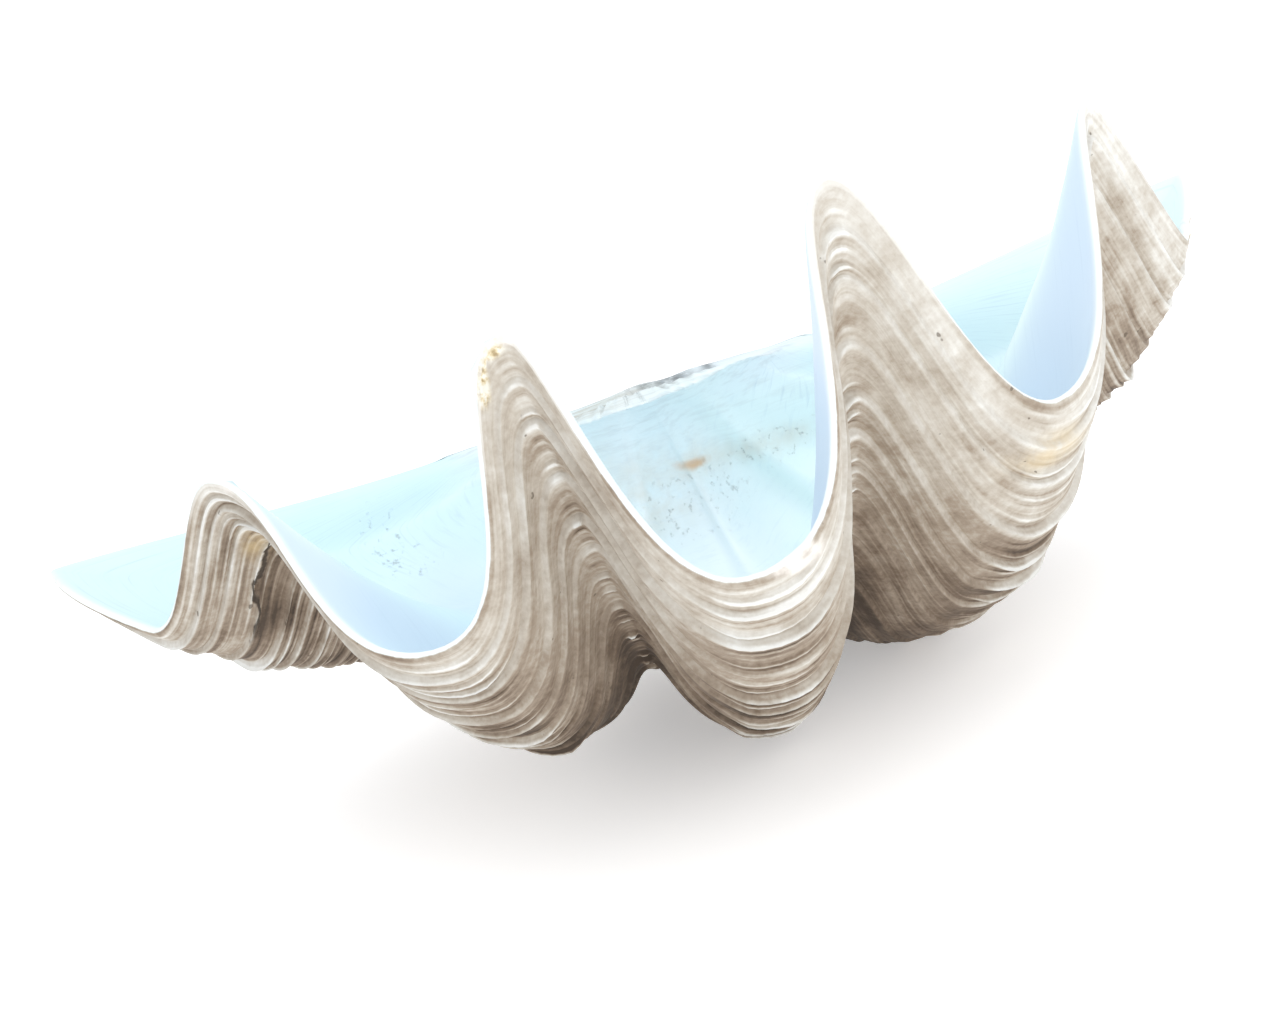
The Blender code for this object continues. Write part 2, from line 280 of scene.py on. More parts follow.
BOLD = bold_heights(OUTER_ROWS)
print("tallest bold ledge mm:", round(float(BOLD.max()) * 1000, 2))

# %% Give the small ledges their height
SMALL_LOWEST, SMALL_HIGHEST, LIP_CURVE = 0.45, 1.6, 1.5
PATCH_LENGTH, PATCH_MIDDLE, PATCH_SWING = 0.085, 0.85, 1.5
FAINTEST, BOLDEST = 0.05, 1.6
ON_FLANKS, RIB_CURVE = 0.12, 1.4
SMALL_FADE_IN, SMALL_FADE_OUT = 0.15, 0.012
CALM, CALM_FROM, CALM_OVER = 0.6, 0.86, 0.08


def ripple(places, seed):
    """Soft noise along a line, from -1 to 1."""
    return np.array([noise.noise(Vector((float(place), seed * 7.31, 0.5))) for place in places])


def small_heights(sizes):
    """Small ledges fade in and out along the rim. Also gives how near each point is to its lip, and
    how strong that lip is."""
    dice = random.Random(LEDGE_SEED + 2)
    heights = np.zeros((len(sizes), len(RIM)))
    strengths = np.zeros((len(sizes), len(RIM)))
    rises = np.zeros(len(sizes))
    start = 0.0
    for number, lip in enumerate(SMALL_LIPS + [1.1]):
        tall = SMALL_HEIGHT * dice.uniform(SMALL_LOWEST, SMALL_HIGHEST)
        along = np.clip(PATCH_MIDDLE + PATCH_SWING * ripple(ALONG / PATCH_LENGTH, number), FAINTEST, BOLDEST)
        rise = np.clip((sizes - start) / (lip - start), 0.0, 1.0)
        step = (sizes > start + 1e-6) & (sizes <= lip + 1e-6)
        heights += (step * rise**LIP_CURVE)[:, None] * tall * along[None, :]
        rises += step * rise
        strengths += step[:, None] * along[None, :] * tall / SMALL_HEIGHT
        start = lip
    ribs_only = ON_FLANKS + (1.0 - ON_FLANKS) * LINED**RIB_CURVE
    fade = smooth((sizes - SMALL_FADE_IN) / SMALL_FADE_IN) * smooth((1.0 - sizes) / SMALL_FADE_OUT)
    calm = 1.0 - CALM * np.outer(smooth((sizes - CALM_FROM) / CALM_OVER), RIGHT_END)
    across = ribs_only[None, :] * fade[:, None] * calm
    return heights * across, rises, strengths * across


HINGE_FADE = smooth(END / LEDGE_TAPER)
SMALL, RISE, STRENGTH = small_heights(OUTER_ROWS)
LEDGES = (BOLD + SMALL) * HINGE_FADE[None, :]
print("tallest ledge mm:", round(float(LEDGES.max()) * 1000, 2))

# %% [markdown]
# ## The outside skin
#
# Nothing that grew is exactly even, so the growth lines drift a little along the rim, and the whole
# skin gets shallow dents. Both come from smooth noise, with a fixed place, so every run gives the
# same shell.

# %% Make the outside
DRIFT, LONG_DRIFT, SHORT_DRIFT, SHORT_SHARE = 0.0022, 0.11, 0.030, 0.6
DRIFT_FROM, DRIFT_FADE_IN, DRIFT_FADE_OUT = 0.3, 0.1, 0.05
DENT, DENT_SIZE, DENT_FADE_OUT = 0.0011, 0.035, 0.06


def noise_field(points, size, seed):
    """Smooth noise from -1 to 1 at every point of a grid."""
    flat = points.reshape(-1, 3) / size + seed * 3.7
    return np.array([noise.noise(Vector(p)) for p in flat]).reshape(points.shape[:-1])


drift = np.stack([
    ripple(ALONG / LONG_DRIFT + row * 2.0, 40) + SHORT_SHARE * ripple(ALONG / SHORT_DRIFT + row * 9.0, 41)
    for row in OUTER_ROWS])
drift_fade = smooth((1.0 - OUTER_ROWS) / DRIFT_FADE_OUT) * smooth((OUTER_ROWS - DRIFT_FROM) / DRIFT_FADE_IN)
drift *= DRIFT * drift_fade[:, None]
outer_sizes = np.repeat(OUTER_ROWS[:, None], len(RIM), axis=1) + drift
outside = growth_skin(RIM, outer_sizes, FOLD_GROWTH)
way_out = -inward(outside)
dents = noise_field(outside, DENT_SIZE, 1) * (smooth((1.0 - OUTER_ROWS) / DENT_FADE_OUT))[:, None]
outside = outside + way_out * (LEDGES + DENT * dents * HINGE_FADE[None, :])[:, :, None]
print("outside grid:", outside.shape[:2])

# %% [markdown]
# ## The lining and the hinge plate
#
# The lining is the bright inner face. It runs a few millimetres inside the outer face at the rim and
# a few centimetres at the umbo. Towards the hinge it turns up into a flat shelf, the hinge plate.
# There, a low tooth and a groove run along the hinge, and the plate carries soft wrinkles, where the
# two valves once met. Pushing points inwards can fold a grid where the folds are tight, so the lining
# fades its folds early, and then each point is drawn a little towards its neighbours, many times
# over. That is what a smoothing brush does, but here it is strong only where it is wanted.

# %% Shape the hinge plate
RIM_THICKNESS = 0.0045
PLATE_WIDTH, PLATE_ROUNDNESS, PLATE_HALVINGS = 0.042, 1.5, 40
LIGAMENT_RISE, LIGAMENT_PLACE, LIGAMENT_WIDTH = 0.004, 0.015, 0.055


def plate_edge():
    shares = []
    for x, y, _ in RIM:
        low, high = 0.0, 1.0
        for _ in range(PLATE_HALVINGS):
            share = (low + high) / 2
            width = PLATE_WIDTH * (1.0 - min(1.0, abs(share * x) / HINGE_HALF) ** PLATE_ROUNDNESS)
            if -share * y < width - 1e-9:
                low = share
            else:
                high = share
        shares.append(min(low, HINGE_HALF / max(abs(x), 1e-9)))
    shares = np.array(shares)
    return RIM * shares[:, None], shares


def plate_height(across):
    return RIM_THICKNESS + LIGAMENT_RISE * np.exp(-(((across - LIGAMENT_PLACE) / LIGAMENT_WIDTH) ** 2))


print("hinge plate mm, width and rise:", PLATE_WIDTH * 1000, LIGAMENT_RISE * 1000)

# %% Grow the lining
THICKENING, THICKENING_POWER, SIDE_TAPER = 0.034, 0.8, 0.20
BACK_EDGE, WAY_IN_AT_BACK, PLAIN_LINING, PLATE_REACH = 0.10, (0.0, -0.6, 1.0), 0.60, 0.28
INNER_ROWS = np.concatenate([
    np.linspace(SMALLEST, 0.108, 8), np.linspace(0.12, 0.36, 17), np.linspace(0.375, 0.985, 33), [0.993]])


def inner_skin(sizes):
    grid = np.repeat(sizes[:, None], len(RIM), axis=1)
    lining = growth_skin(RIM, grid, FOLD_GROWTH_INSIDE)
    plain = smooth((1.0 - sizes) / PLAIN_LINING)[:, None, None]
    way_in = inward(lining) * (1.0 - plain) + inward(growth_skin(FAN, grid, 1.0)) * plain
    way_in /= np.linalg.norm(way_in, axis=2, keepdims=True)
    at_back = (1.0 - smooth(END / BACK_EDGE))[None, :, None]
    way_in = way_in * (1.0 - at_back) + np.array(WAY_IN_AT_BACK) * at_back
    side = smooth(END / SIDE_TAPER)
    thickness = RIM_THICKNESS + THICKENING * np.outer((1.0 - sizes) ** THICKENING_POWER, side)
    lining = lining + way_in * thickness[:, :, None]
    edge, shares = plate_edge()
    edge[:, 2] = plate_height(edge[:, 0])
    middle = np.zeros_like(RIM)
    middle[:, 0] = np.linspace(-1.0, 1.0, len(RIM)) * HINGE_HALF * SMALLEST
    middle[:, 2] = plate_height(middle[:, 0])
    on_plate = np.clip((shares[None, :] - sizes[:, None]) / (shares[None, :] - SMALLEST), 0.0, 1.0)
    plate = edge[None] + (middle - edge)[None] * on_plate[:, :, None]
    start = shares + PLATE_REACH * (1.0 - shares)
    blend = smooth((start[None, :] - sizes[:, None]) / np.maximum(start - shares, 1e-6)[None, :])
    return lining * (1.0 - blend[:, :, None]) + plate * blend[:, :, None], blend


inside, on_plate = inner_skin(INNER_ROWS)
print("lining grid:", inside.shape[:2])

# %% Smooth the lining
SMOOTHING_PASSES, SMOOTHING_STEP, BOWL_SHARE = 24, 0.6, 0.6
near_back = smooth((0.24 - END) / 0.08)[None, :] * smooth((0.97 - INNER_ROWS) / 0.10)[:, None]
in_bowl = BOWL_SHARE * smooth((0.85 - INNER_ROWS) / 0.15)[:, None]
smoothed = (np.maximum(near_back, in_bowl) * (1.0 - on_plate))[1:-1, 1:-1, None]
before = inside.copy()
for _ in range(SMOOTHING_PASSES):
    around = (inside[1:-1, :-2] + inside[1:-1, 2:] + inside[:-2, 1:-1] + inside[2:, 1:-1]) / 4.0
    inside[1:-1, 1:-1] += SMOOTHING_STEP * smoothed * (around - inside[1:-1, 1:-1])
print("furthest smoothed mm:", round(float(np.linalg.norm(inside - before, axis=2).max()) * 1000, 1))

# %% Add the tooth, the groove and the wrinkles
TOOTH_PLACE, TOOTH_WIDTH, TOOTH_HEIGHT = 0.024, 0.006, 0.0035
GROOVE_PLACE, GROOVE_WIDTH, GROOVE_DEPTH = 0.012, 0.004, 0.0025
TOOTH_MIDDLE, TOOTH_HALF, TOOTH_FADE = 0.03, 0.085, 0.03
WRINKLE, WRINKLE_SIZE, SWELL, SWELL_SIZE = 0.0011, 0.009, 0.0018, 0.026
LINING_DENT, LINING_DENT_SIZE = 0.0009, 0.045
from_hinge = -inside[:, :, 1]
tooth = TOOTH_HEIGHT * np.exp(-(((from_hinge - TOOTH_PLACE) / TOOTH_WIDTH) ** 2))
groove = GROOVE_DEPTH * np.exp(-(((from_hinge - GROOVE_PLACE) / GROOVE_WIDTH) ** 2))
reach = smooth((TOOTH_HALF - np.abs(inside[:, :, 0] - TOOTH_MIDDLE)) / TOOTH_FADE)
wrinkles = WRINKLE * noise_field(inside * np.array([0.35, 1.6, 1.6]), WRINKLE_SIZE, 5) * on_plate
wrinkles += SWELL * noise_field(inside, SWELL_SIZE, 6) * on_plate
inside[:, :, 2] += ((tooth - groove) * reach + wrinkles) * smooth(on_plate * 1.5)
uneven = noise_field(inside, LINING_DENT_SIZE, 2) * (1.0 - on_plate) * smooth((1.0 - INNER_ROWS) / 0.1)[:, None]
inside += inward(inside) * (LINING_DENT * uneven)[:, :, None]
print("tooth and groove mm:", TOOTH_HEIGHT * 1000, GROOVE_DEPTH * 1000)

# %% [markdown]
# ## Over the edge
#
# The rim of a real shell is a thin rounded edge. Five extra rows carry the skin from the outside over
# the crest to the lining, so the valve is one closed grid. A bevel could round a sharp edge too, but
# these rows also say exactly where the white lining begins.

# %% Round the rim
CREST = [(0.03, 0.55), (0.22, 0.1), (0.5, 0.0), (0.78, 0.1), (0.97, 0.55)]
ROW_UNDER_RIM = 0.996
last_size = np.ones((2, len(RIM)))
rim_outer = growth_skin(RIM, last_size, FOLD_GROWTH)[0]
near = growth_skin(RIM, np.repeat(np.array([[0.985], [0.99], [0.995], [1.0]]), len(RIM), axis=1),
                   FOLD_GROWTH_INSIDE)
rim_way_in = inward(near)[-1]
at_back = (1.0 - smooth(END / BACK_EDGE))[:, None]
rim_way_in = rim_way_in * (1.0 - at_back) + np.array(WAY_IN_AT_BACK) * at_back
rim_inner = rim_outer + rim_way_in * RIM_THICKNESS
down = growth_skin(RIM, last_size * ROW_UNDER_RIM, FOLD_GROWTH)[0] - rim_outer
crest = [rim_outer * (1.0 - across) + rim_inner * across + down * drop for across, drop in CREST]
print("rows over the rim:", len(crest))

# %% Join the skins
LINING_ON_CREST = [0.0, 0.5, 1.0, 1.0, 1.0]
WHITE_ON_CREST, WHITE_ON_FIRST_INNER_ROW = [0.3, 1.0, 1.0, 0.9, 0.5], [0.15]
outer_count, later_count, inner_count = len(OUTER_ROWS), len(crest) + len(INNER_ROWS), len(INNER_ROWS)
grid = np.concatenate([outside, np.array(crest), inside[::-1]])
AGE = np.concatenate([OUTER_ROWS, np.ones(len(crest)), INNER_ROWS[::-1]])
IS_LINING = np.concatenate([np.zeros(outer_count), LINING_ON_CREST, np.ones(inner_count)])
ON_RIM = np.concatenate([
    np.zeros(outer_count), WHITE_ON_CREST, WHITE_ON_FIRST_INNER_ROW, np.zeros(inner_count - 1)])
LIP_STRENGTH = np.concatenate([STRENGTH, np.zeros((later_count, len(RIM)))])
NEAR_LIP = np.concatenate([RISE, np.zeros(later_count)])
ON_PLATE = np.concatenate([np.zeros((outer_count + len(crest), len(RIM))), on_plate[::-1]])
print("whole grid:", grid.shape[:2])

# %% Put the valve where the solid is
VALVE_PLACE = np.array([0.00249, 0.18965, 0.16461])
grid = grid + VALVE_PLACE
low, high = (np.array(corner) for corner in SOLID_BOX)
print("box before trimming:", grid.reshape(-1, 3).min(0).round(4), grid.reshape(-1, 3).max(0).round(4))

# %% [markdown]
# ## Marks of a long life
#
# Stains, pits and crusts belong to places. Each is a soft spot round a point, stored on the mesh as
# a number from 0 to 1, so both the shape and the colour can use it. The crack is a line, so there
# each point is told how far it lies to the right of that line. The shell is sunk a little on the
# right side, and the finish later draws the dark line itself, sharper than the mesh could.

# %% Lay out the spots
SPOTS = {
    "orange_stain": [((0.028, 0.158, 0.1185), (0.019, 0.030, 0.0055))],
    "tan_wash": [
        ((-0.004, 0.150, 0.112), (0.036, 0.030, 0.026)), ((0.066, 0.175, 0.110), (0.050, 0.030, 0.007)),
        ((-0.045, 0.150, 0.140), (0.020, 0.030, 0.020))],
    "pits": [
        ((0.085, 0.175, 0.108), (0.040, 0.030, 0.013)), ((-0.183, 0.157, 0.143), (0.012, 0.030, 0.024)),
        ((0.020, 0.155, 0.095), (0.050, 0.030, 0.022)), ((-0.170, 0.142, 0.122), (0.018, 0.02, 0.008))],
    # Lavender: partly a muscle scar, partly painted shade on lining turned from the light.
    "lavender": [
        ((-0.145, 0.100, 0.105), (0.034, 0.060, 0.030)), ((0.070, 0.182, 0.166), (0.050, 0.014, 0.014)),
        ((0.19, 0.10, 0.10), (0.05, 0.06, 0.04))],
    "yellow": [
        ((0.176, -0.140, 0.163), (0.022, 0.030, 0.009)), ((-0.244, -0.037, 0.224), (0.007, 0.020, 0.010))],
    "slit": [
        ((0.034, 0.181, 0.1725), (0.013, 0.012, 0.0035)), ((0.060, 0.186, 0.1715), (0.004, 0.010, 0.003)),
        ((0.018, 0.180, 0.1735), (0.010, 0.010, 0.002))],
    "hinge_tan": [((-0.020, 0.176, 0.171), (0.036, 0.016, 0.008))],
    "crust": [
        ((-0.105, -0.179, 0.310), (0.0045, 0.014, 0.013)), ((-0.097, -0.181, 0.322), (0.008, 0.010, 0.005)),
        ((0.352, 0.046, 0.204), (0.010, 0.014, 0.010))],
    "pale_crust": [
        ((0.014, -0.218, 0.184), (0.013, 0.014, 0.006)), ((-0.080, -0.181, 0.326), (0.010, 0.010, 0.004)),
        ((-0.240, -0.062, 0.267), (0.007, 0.010, 0.004))],
}
SPOT_FALL, SPOT_SHARPNESS = 0.7, 1.3


def spot_strength(points, spots):
    strength = np.zeros(points.shape[:-1])
    for middle, radii in spots:
        away = np.sum(((points - np.array(middle)) / np.array(radii)) ** 2, axis=-1)
        strength = np.maximum(strength, np.exp(-SPOT_FALL * away**SPOT_SHARPNESS))
    return strength


marks = {name: spot_strength(grid, spots) for name, spots in SPOTS.items()}
print("marks:", {name: int((mark > 0.5).sum()) for name, mark in marks.items()})

# %% Follow the crack
CRACK = [(-0.236, -0.042, 0.222), (-0.240, -0.037, 0.216), (-0.246, -0.029, 0.204), (-0.254, -0.023, 0.196),
         (-0.257, -0.018, 0.187), (-0.256, -0.016, 0.178), (-0.264, -0.008, 0.165), (-0.270, 0.002, 0.154)]
CRACK_RIGHT = np.array([0.78, -0.29, -0.53])
CRACK_REACH = 0.03


def beside_crack(points):
    """How far each point is to the right of the crack, and how much of the crack is left there."""
    nearest = np.full(points.shape[:-1], 1.0)
    beside = np.full(points.shape[:-1], CRACK_REACH)
    for start, end in zip(np.array(CRACK[:-1]), np.array(CRACK[1:])):
        share = np.clip((points - start) @ (end - start) / ((end - start) @ (end - start)), 0.0, 1.0)
        away = points - start - share[:, :, None] * (end - start)
        distance = np.linalg.norm(away, axis=2)
        beside = np.where(distance < nearest, distance * np.sign(away @ CRACK_RIGHT), beside)
        nearest = np.minimum(nearest, distance)
    fall = (points[:, :, 2] - CRACK[-1][2]) / (CRACK[0][2] - CRACK[-1][2])
    left = smooth((fall + 0.1) / 0.35) * smooth((1.12 - fall) / 0.1) * smooth((CRACK_REACH - nearest) / 0.012)
    return np.clip(beside, -CRACK_REACH, CRACK_REACH), left


print("crack points:", len(CRACK))

# %% Raise the crusts and sink the crack
CRUST_HEIGHT, PALE_CRUST_HEIGHT, CRACK_DEPTH = 0.0042, 0.0026, 0.0020
normals = -inward(grid)
lumps = np.clip(noise_field(grid, 0.0055, 9) + 0.25, 0.0, 1.0)
lumps -= 0.35 * np.clip(noise_field(grid, 0.008, 12), 0, 1)
raised = lumps * (CRUST_HEIGHT * marks["crust"] + PALE_CRUST_HEIGHT * marks["pale_crust"])
grid = grid + normals * raised[:, :, None]
crack_side, crack_left = beside_crack(grid)
sunk = smooth((crack_side + 0.002) / 0.005) * smooth((CRACK_REACH - crack_side) / 0.02) * crack_left
grid = grid - normals * (CRACK_DEPTH * sunk * (1.0 - IS_LINING)[:, None])[:, :, None]
grid = np.clip(grid, low, high)
print("highest crust mm:", round(float(raised.max()) * 1000, 2))

# %% [markdown]
# ## One closed mesh
#
# The grid already wraps from the beak over the outside, the rim and the lining back to the hinge.
# What is left are its two side edges, which run along the hinge, and its first and last rows. They
# are zipped together with triangles, since the outside and the lining have different row counts.
# Some numbers are then stored on the vertices: how old a point is, how far along the rim, how near a
# lip. The finish can read them by name, which keeps colour and shape in step.

# %% Build the mesh
def zip_up(bm, one, other):
    """Triangles between two lines of vertices with different counts."""
    i = j = 0
    while i < len(one) - 1 or j < len(other) - 1:
        next_one = (i + 1) / max(1, len(one) - 1)
        next_other = (j + 1) / max(1, len(other) - 1)
        if j == len(other) - 1 or (i < len(one) - 1 and next_one <= next_other):
            corners = [one[i], one[i + 1], other[j]]
            i += 1
        else:
            corners = [one[i], other[j + 1], other[j]]
            j += 1
        if len(set(corners)) == 3:
            bm.faces.new(corners)


bm = bmesh.new()
rows = [[bm.verts.new(point) for point in row] for row in grid]
for lower, upper in zip(rows, rows[1:]):
    for c in range(len(lower) - 1):
        bm.faces.new([lower[c], lower[c + 1], upper[c + 1], upper[c]])
halfway = len(OUTER_ROWS) + 2
for c in (0, -1):
    zip_up(bm, [row[c] for row in rows[:halfway + 1]], [row[c] for row in rows[halfway:]][::-1])
zip_up(bm, rows[0], rows[-1])
bmesh.ops.recalc_face_normals(bm, faces=bm.faces)
mesh = bpy.data.meshes.new("half_shell_grown")
bm.to_mesh(mesh)
bm.free()
mesh.shade_smooth()
shell = bpy.data.objects.new("half_shell_grown", mesh)
bpy.context.scene.collection.objects.link(shell)
print("faces:", len(mesh.polygons), "triangles:", sum(len(p.vertices) - 2 for p in mesh.polygons))

# %% Store what the finish needs on the mesh
FULL_FOLD, TIPS_FROM, TIPS_OVER = 0.09, 0.10, 0.08


def by_row(values):
    return np.repeat(values[:, None], len(RIM), axis=1)


def by_column(values):
    return np.repeat(values[None, :], len(AGE), axis=0)


on_grid = {
    "age": by_row(AGE),
    "lining": by_row(IS_LINING),
    "near_lip": by_row(NEAR_LIP),
    "rim": by_row(ON_RIM),
    "along": by_column(ALONG),
    "flank": by_column(FLANK),
    "lined": by_column(LINED),
    "right_end": by_column(RIGHT_END),
    "fold": by_column(np.clip((RIM[:, 2] - FAN[:, 2]) / FULL_FOLD, -1.0, 1.0)),
    "tips": by_column(1.0 - smooth((END - TIPS_FROM) / TIPS_OVER)),
    # How much a point faces down; the finish paints shade with it.
    "facing_down": np.clip(-normals[:, :, 2], 0.0, 1.0),
    "crack_side": crack_side,
    "crack_left": crack_left,
    "lip_strength": LIP_STRENGTH,
    "plate": ON_PLATE,
    **marks,
}
for name, values in on_grid.items():
    layer = mesh.attributes.new(name, "FLOAT", "POINT")
    layer.data.foreach_set("value", values.astype(np.float32).ravel())
print("attributes:", sorted(on_grid))

# %% [markdown]
# ## Shader maths as sums
#
# A material is a net of nodes, but it reads best as a sum: tone = 0.5 * lines + 0.3 * clouds. The
# class below wraps one socket and teaches Python what +, -, * and / mean for it, so each expression
# adds its own Math nodes. Colours go through Mix nodes, since a Math node would turn them grey.

# %% Wrap a socket
class Wire:
    """One output socket that can be used in sums."""

    def __init__(self, finish, socket):
        self.finish = finish
        self.socket = socket

    def join(self, operation, first, second):
        wires = [part for part in (first, second) if isinstance(part, Wire)]
        if any(part.socket.type == "VECTOR" for part in wires):
            return self.finish.node("ShaderNodeVectorMath", {"operation": operation}, {0: first, 1: second})
        return self.finish.node("ShaderNodeMath", {"operation": operation}, {0: first, 1: second})

    def __add__(self, other):
        return self.join("ADD", self, other)

    def __radd__(self, other):
        return self.join("ADD", other, self)

    def __sub__(self, other):
        return self.join("SUBTRACT", self, other)

    def __rsub__(self, other):
        return self.join("SUBTRACT", other, self)

    def __mul__(self, other):
        return self.join("MULTIPLY", self, other)

    def __rmul__(self, other):
        return self.join("MULTIPLY", other, self)

    def __truediv__(self, other):
        return self.join("DIVIDE", self, other)

    def __rtruediv__(self, other):
        return self.join("DIVIDE", other, self)

class Finish:
    """A material and short ways to add nodes to it."""

    def __init__(self, name):
        self.material = bpy.data.materials.new(name)
        self.material.use_nodes = True
        self.tree = self.material.node_tree
        self.shader = self.tree.nodes["Principled BSDF"]

    def node(self, kind, settings=None, sockets=None, out=0):
        made = self.tree.nodes.new(kind)
        for name, value in (settings or {}).items():
            if name == "stops":
                set_stops(made.color_ramp, value)
            else:
                setattr(made, name, value)
        for key, value in (sockets or {}).items():
            self.plug(made.inputs[key], value)
        return Wire(self, made.outputs[out])

    def plug(self, socket, value):
        if isinstance(value, Wire):
            self.tree.links.new(value.socket, socket)
        elif socket.type == "RGBA":
            socket.default_value = tuple(value) + (1.0,) * (4 - len(value))
        elif socket.type == "VECTOR" and not isinstance(value, (tuple, list)):
            socket.default_value = (value,) * 3
        else:
            socket.default_value = value

    def stored(self, name):
        return self.node("ShaderNodeAttribute", {"attribute_name": name}, out="Fac")

    def place(self, x, y, z=0.0):
        return self.node("ShaderNodeCombineXYZ", None, {0: x, 1: y, 2: z})

    def noise(self, vector, scale=1.0, detail=2.0, roughness=0.5):
        return self.node("ShaderNodeTexNoise", None,
                         {"Vector": vector, "Scale": scale, "Detail": detail, "Roughness": roughness})

    def between(self, value, low, high, start=0.0, end=1.0):
        """Eases from start to end while value goes from low to high."""
        return self.node("ShaderNodeMapRange", {"interpolation_type": "SMOOTHSTEP"},
                         {0: value, 1: low, 2: high, 3: start, 4: end})

    def mix(self, factor, first, second):
        return self.node("ShaderNodeMix", {"data_type": "RGBA"}, {0: factor, 6: first, 7: second}, out=2)

    def ramp(self, value, stops):
        return self.node("ShaderNodeValToRGB", {"stops": stops}, {0: value})


def set_stops(ramp, stops):
    while len(ramp.elements) > 1:
        ramp.elements.remove(ramp.elements[-1])
    for number, (position, colour) in enumerate(stops):
        element = ramp.elements[0] if number == 0 else ramp.elements.new(position)
        element.position = position
        element.color = (*colour, 1.0)


clam = Finish("clam_shell")
print("material:", clam.material.name)

# %% [markdown]
# ## The chalky outside
#
# Outside, the shell is bare, matt and chalky and mostly beige. Each lip gets a painted cream highlight,
# and painted brown shade lies under each lip, low down, on the underside and in the grooves. The lines
# follow the growth lines, so the noise is read in shell coordinates, stretched along the rim and squeezed
# across it. Everything that makes a point lighter or darker, painted light and shade included, is added up
# to one tone, and a ramp turns that tone into a colour. Painting each effect over the last would do as
# well, but one sum is easier to balance.

# %% Read the shell's own coordinates
place = clam.node("ShaderNodeTexCoord", out="Object")
x, y, z = (clam.node("ShaderNodeSeparateXYZ", None, {0: place}, out=axis) for axis in "XYZ")
age, along, near_lip = (clam.stored(name) for name in ("age", "along", "near_lip"))
flank, fold, lined = (clam.stored(name) for name in ("flank", "fold", "lined"))
strength, right_end = clam.stored("lip_strength"), clam.stored("right_end")
print("nodes so far:", len(clam.tree.nodes))

# %% Make clouds, speckle and growth lines from noise
LINE_STRETCH = {"fine": (330.0, 20.0, 0.0), "plain": (120.0, 11.0, 4.0), "broad": (34.0, 6.0, 9.0)}
cloud = clam.noise(place, 9.0, 4.0, 0.55)
mottle = clam.noise(place, 55.0, 4.0, 0.62)
speckle = clam.noise(place, 260.0, 3.0, 0.6)
patches = clam.noise(place, 36.0, 4.0, 0.6)
wander = age + (clam.noise(place, 16.0, 2.0) - 0.5) * 0.012


def growth_lines(stretch, detail=2.0, roughness=0.5):
    across, along_rim, shift = stretch
    return clam.noise(clam.place(wander * across, along * along_rim, shift), 1.0, detail, roughness)


fine_lines = growth_lines(LINE_STRETCH["fine"], 3.0, 0.6)
lines = growth_lines(LINE_STRETCH["plain"])
bands = growth_lines(LINE_STRETCH["broad"])
print("nodes so far:", len(clam.tree.nodes))

# %% Find lips, feet, grooves and the underside
broken = clam.between(patches, 0.30, 0.65, 0.55, 1.25)
# Painted highlight: cream light along each lip.
lip_light = clam.between(near_lip, 0.60, 0.98) * strength * broken
# Painted shade: brown just below each lip, at its foot.
foot_shade = clam.between(near_lip, 0.50, 0.0) * strength
# Painted shade: darker low down, as under a light from above.
low_down = clam.between(z, 0.19, 0.015)
# Painted shade: darker in the older part of the grooves.
in_groove = clam.between(fold, 0.1, 0.9) * clam.between(age, 0.90, 0.60)
fresh = clam.between(age, 0.93, 0.98)
on_fold = clam.between(fold, 0.0, 0.5)
# Painted shadow: a thin dark line just under the rim on the ribs.
under_rim = clam.between(age, 0.991, 0.998) * (1.0 - on_fold)
# Painted shade: darker on the sunk piece right of the crack.
right_of_crack = clam.between(clam.stored("crack_side"), -0.001, 0.003) * clam.stored("crack_left")
# Painted shade: darker on the older part of the right end.
older_right_end = right_end * clam.between(age, 0.97, 0.88)
print("nodes so far:", len(clam.tree.nodes))

# %% Add them up to one tone
MIDDLE_TONE = 0.596
OUTSIDE_TONES = [
    (0.00, (0.070, 0.048, 0.032)), (0.20, (0.190, 0.138, 0.096)), (0.38, (0.345, 0.280, 0.215)),
    (0.55, (0.520, 0.470, 0.400)), (0.72, (0.668, 0.640, 0.584)), (0.90, (0.838, 0.830, 0.793)),
]
grown = (fine_lines - 0.5) * (0.14 + lined * 0.20) + (lines - 0.5) * (0.14 + lined * 0.38)
grown = grown + (bands - 0.5) * (0.20 + lined * 0.48) * (1.0 + low_down * 1.7)
weathered = (cloud - 0.5) * 0.42 + (mottle - 0.5) * (0.42 + right_end * 0.15) + (speckle - 0.5) * 0.26
painted_lip_light_and_shade = lip_light * (0.27 + low_down * 0.15) - foot_shade * (0.22 + low_down * 0.38)
# Painted light: lighter towards the right, as if lit from there. The young band near the rim is paler in its
# own colour.
painted_light_right_and_fresh = x * 0.20 + clam.between(x, 0.06, 0.15) * 0.068 + fresh * 0.05
# Painted shade, summed: low down, on steep flanks, in grooves, on downward faces, under the rim, right of the
# crack and on the right end's older part.
painted_shade = low_down * 0.31 + flank * 0.025 + in_groove * 0.20 + clam.stored("facing_down") * 0.27
painted_shade = painted_shade + under_rim * 0.18 + right_of_crack * 0.22 + older_right_end * 0.14
outside_colour = clam.ramp(MIDDLE_TONE + grown + weathered + painted_lip_light_and_shade + painted_light_right_and_fresh - painted_shade, OUTSIDE_TONES)
print("nodes so far:", len(clam.tree.nodes))

